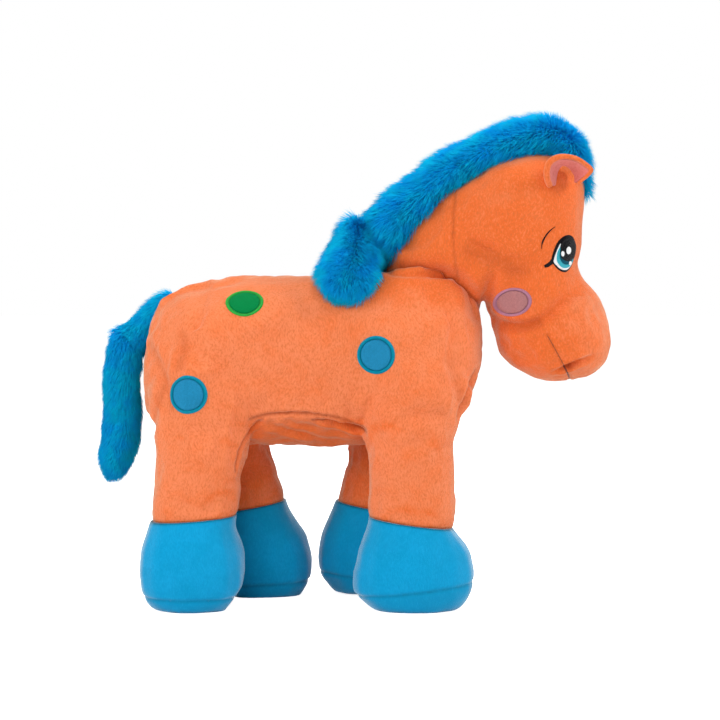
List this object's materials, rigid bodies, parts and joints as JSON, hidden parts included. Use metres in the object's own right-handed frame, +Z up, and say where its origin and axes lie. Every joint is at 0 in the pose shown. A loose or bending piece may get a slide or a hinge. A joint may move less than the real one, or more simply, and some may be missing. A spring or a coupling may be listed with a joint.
{
  "type": "plush horse",
  "caption": "Standing plush horse with a velour body and head, embroidered face, stitched spots, blue cloth hooves and a fur-fabric mane and tail; sewn limbs bend at their seams.",
  "frame": {"origin": "on the floor under the middle of the toy: centre of the box in X and Y, soles at Z 0", "axes": "+X towards the muzzle, +Y to the left side of the horse, +Z up"},
  "size_m": [0.3624, 0.1266, 0.3372],
  "materials": {
    "orange_velour": "short dense velour pile, matt",
    "blue_velour": "short dense velour pile, matt",
    "blue_fur_fabric": "long-pile fur fabric, pile about 8 mm",
    "filling": "polyester filling, loosely packed",
    "pink_lining": "smooth knitted lining",
    "green_spot_cloth": "smooth knitted cloth",
    "green_satin_stitch": "glossy satin-stitched thread",
    "blue_spot_cloth": "smooth knitted cloth",
    "blue_satin_stitch": "glossy satin-stitched thread",
    "mauve_spot_cloth": "smooth knitted cloth",
    "lilac_satin_stitch": "glossy satin-stitched thread",
    "black_thread": "embroidery thread",
    "aqua_thread": "embroidery thread",
    "white_thread": "embroidery thread",
    "orange_thread": "sewing thread"
  },
  "bodies": {
    "trunk": {"back_spot_left": "green_spot_cloth", "back_spot_left_border": "green_satin_stitch", "back_spot_right": "green_spot_cloth", "back_spot_right_border": "green_satin_stitch", "rump_spot": "mauve_spot_cloth", "rump_spot_border": "lilac_satin_stitch", "shoulder_spot_left": "blue_spot_cloth", "shoulder_spot_left_border": "blue_satin_stitch", "shoulder_spot_right": "blue_spot_cloth", "shoulder_spot_right_border": "blue_satin_stitch", "trunk_cover": "orange_velour", "trunk_stuffing": "filling"},
    "leg_hind_right": {"hoof_cover_hind_right": "blue_velour", "hoof_sole_hind_right": "blue_velour", "leg_cover_hind_right": "orange_velour", "leg_stuffing_hind_right": "filling", "thigh_spot_right": "blue_spot_cloth", "thigh_spot_right_border": "blue_satin_stitch"},
    "leg_hind_left": {"hoof_cover_hind_left": "blue_velour", "hoof_sole_hind_left": "blue_velour", "leg_cover_hind_left": "orange_velour", "leg_stuffing_hind_left": "filling", "thigh_spot_left": "blue_spot_cloth", "thigh_spot_left_border": "blue_satin_stitch"},
    "leg_fore_right": {"hoof_cover_fore_right": "blue_velour", "hoof_sole_fore_right": "blue_velour", "leg_cover_fore_right": "orange_velour", "leg_stuffing_fore_right": "filling"},
    "leg_fore_left": {"hoof_cover_fore_left": "blue_velour", "hoof_sole_fore_left": "blue_velour", "leg_cover_fore_left": "orange_velour", "leg_stuffing_fore_left": "filling"},
    "neck": {"mane_crest": "blue_fur_fabric", "neck_cover": "orange_velour", "neck_stuffing": "filling"},
    "mane_tip": {"mane_tip": "blue_fur_fabric"},
    "tail_dock": {"tail_dock": "blue_fur_fabric"},
    "tail_switch": {"tail_switch": "blue_fur_fabric"},
    "head": {"brow_left": "black_thread", "brow_right": "black_thread", "cheek_patch_left": "mauve_spot_cloth", "cheek_patch_left_border": "lilac_satin_stitch", "cheek_patch_right": "mauve_spot_cloth", "cheek_patch_right_border": "lilac_satin_stitch", "eye_iris_left": "aqua_thread", "eye_iris_right": "aqua_thread", "eye_outline_left": "black_thread", "eye_outline_right": "black_thread", "eye_white_left": "white_thread", "eye_white_right": "white_thread", "head_cover": "orange_velour", "head_stuffing": "filling", "mane_crown": "blue_fur_fabric", "mouth_seam": "orange_thread"},
    "ear_right": {"ear_lining_right": "pink_lining", "ear_outer_right": "orange_velour"},
    "ear_left": {"ear_lining_left": "pink_lining", "ear_outer_left": "orange_velour"}
  },
  "joints": [
    {"name": "hip_hind_right", "type": "hinge", "parent": "trunk", "child": "leg_hind_right", "pos_m": [-0.102, -0.034, 0.149], "axis": [0, 1, 0], "range_deg": [-14, 22], "stiffness_Nm_per_rad": 2},
    {"name": "hip_hind_left", "type": "hinge", "parent": "trunk", "child": "leg_hind_left", "pos_m": [-0.102, 0.034, 0.149], "axis": [0, 1, 0], "range_deg": [0, 22], "stiffness_Nm_per_rad": 2},
    {"name": "shoulder_fore_right", "type": "hinge", "parent": "trunk", "child": "leg_fore_right", "pos_m": [0.044, -0.034, 0.149], "axis": [0, 1, 0], "range_deg": [-22, 14], "stiffness_Nm_per_rad": 2},
    {"name": "shoulder_fore_left", "type": "hinge", "parent": "trunk", "child": "leg_fore_left", "pos_m": [0.044, 0.034, 0.149], "axis": [0, 1, 0], "range_deg": [-22, 0], "stiffness_Nm_per_rad": 2},
    {"name": "neck_nod", "type": "hinge", "parent": "trunk", "child": "neck", "pos_m": [0.053, 0, 0.212], "axis": [0, 1, 0], "range_deg": [-6, 6], "stiffness_Nm_per_rad": 5},
    {"name": "head_turn", "type": "hinge", "parent": "neck", "child": "head", "pos_m": [0.092, 0, 0.212], "axis": [0, 0, 1], "range_deg": [-25, 25], "stiffness_Nm_per_rad": 1},
    {"name": "ear_right_fold", "type": "hinge", "parent": "head", "child": "ear_right", "pos_m": [0.13, -0.0365, 0.302], "axis": [-0.2425, 0, -0.9701], "range_deg": [0, 30], "stiffness_Nm_per_rad": 0.02},
    {"name": "ear_left_fold", "type": "hinge", "parent": "head", "child": "ear_left", "pos_m": [0.13, 0.0365, 0.302], "axis": [0.2425, 0, 0.9701], "range_deg": [0, 30], "stiffness_Nm_per_rad": 0.02},
    {"name": "mane_tip_lift", "type": "hinge", "parent": "trunk", "child": "mane_tip", "pos_m": [-0.00079, -0.0158, 0.25274], "axis": [-1, 0, 0], "range_deg": [0, 35], "stiffness_Nm_per_rad": 0.05},
    {"name": "tail_lift", "type": "hinge", "parent": "trunk", "child": "tail_dock", "pos_m": [-0.133, 0, 0.204], "axis": [0, 1, 0], "range_deg": [0, 55], "stiffness_Nm_per_rad": 0.2},
    {"name": "tail_sway", "type": "hinge", "parent": "tail_dock", "child": "tail_switch", "pos_m": [-0.1595, 0, 0.178], "axis": [1, 0, 0], "range_deg": [-25, 25], "stiffness_Nm_per_rad": 0.1}
  ]
}
